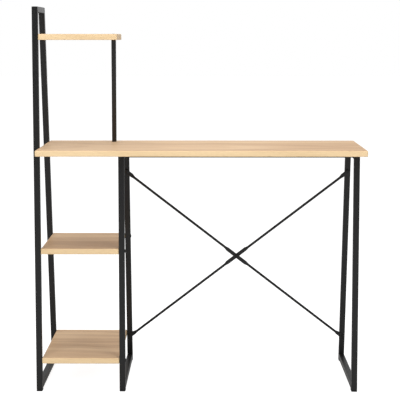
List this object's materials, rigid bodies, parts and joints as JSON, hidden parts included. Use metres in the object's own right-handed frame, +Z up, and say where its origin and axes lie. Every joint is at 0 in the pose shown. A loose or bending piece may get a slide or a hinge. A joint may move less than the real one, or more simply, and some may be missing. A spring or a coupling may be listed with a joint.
{
  "type": "computer desk with shelf tower",
  "caption": "Computer desk with slanted-back square steel frames, an open shelf tower at one end, a raised upper shelf and a crossed rod brace.",
  "frame": {"origin": "on the floor, under the middle of the desk's overall box", "axes": "+X to the sitter's right along the desktop, +Y to the back, +Z up"},
  "size_m": [1, 0.5, 1.18],
  "materials": {
    "board": "light oak woodgrain laminate, satin",
    "steel": "black satin powder coat",
    "plastic": "black, matt",
    "hardware": "blackened steel"
  },
  "bodies": {
    "root": {"brace_bolt_middle_bottom": "hardware", "brace_bolt_middle_top": "hardware", "brace_bolt_right_bottom": "hardware", "brace_bolt_right_top": "hardware", "brace_centre_bolt": "hardware", "brace_centre_nut": "hardware", "brace_rod_back": "steel", "brace_rod_front": "steel", "desktop": "board", "desktop_left_front_bolt": "hardware", "desktop_left_rear_bolt": "hardware", "desktop_screw_middle_front": "hardware", "desktop_screw_middle_rear": "hardware", "desktop_screw_right_front": "hardware", "desktop_screw_right_rear": "hardware", "desktop_stretcher": "steel", "lower_shelf": "board", "lower_shelf_left_front_bolt": "hardware", "lower_shelf_left_rear_bolt": "hardware", "lower_shelf_right_front_bolt": "hardware", "lower_shelf_right_rear_bolt": "hardware", "middle_frame_foot_rail": "steel", "middle_frame_front_glide": "plastic", "middle_frame_front_post": "steel", "middle_frame_rear_glide": "plastic", "middle_frame_rear_post": "steel", "middle_frame_top_rail": "steel", "middle_shelf": "board", "middle_shelf_left_front_bolt": "hardware", "middle_shelf_left_rear_bolt": "hardware", "middle_shelf_right_front_bolt": "hardware", "middle_shelf_right_rear_bolt": "hardware", "post_foot_screw": "hardware", "post_head_screw": "hardware", "right_frame_foot_rail": "steel", "right_frame_front_glide": "plastic", "right_frame_front_post": "steel", "right_frame_rear_glide": "plastic", "right_frame_rear_post": "steel", "right_frame_top_rail": "steel", "stretcher_bolt_middle": "hardware", "stretcher_bolt_right": "hardware", "tall_frame_foot_rail": "steel", "tall_frame_front_glide": "plastic", "tall_frame_front_post": "steel", "tall_frame_rear_glide": "plastic", "tall_frame_rear_post": "steel", "tall_frame_top_rail": "steel", "upper_shelf": "board", "upper_shelf_left_front_bolt": "hardware", "upper_shelf_left_rear_bolt": "hardware", "upper_shelf_post": "steel"}
  },
  "joints": []
}
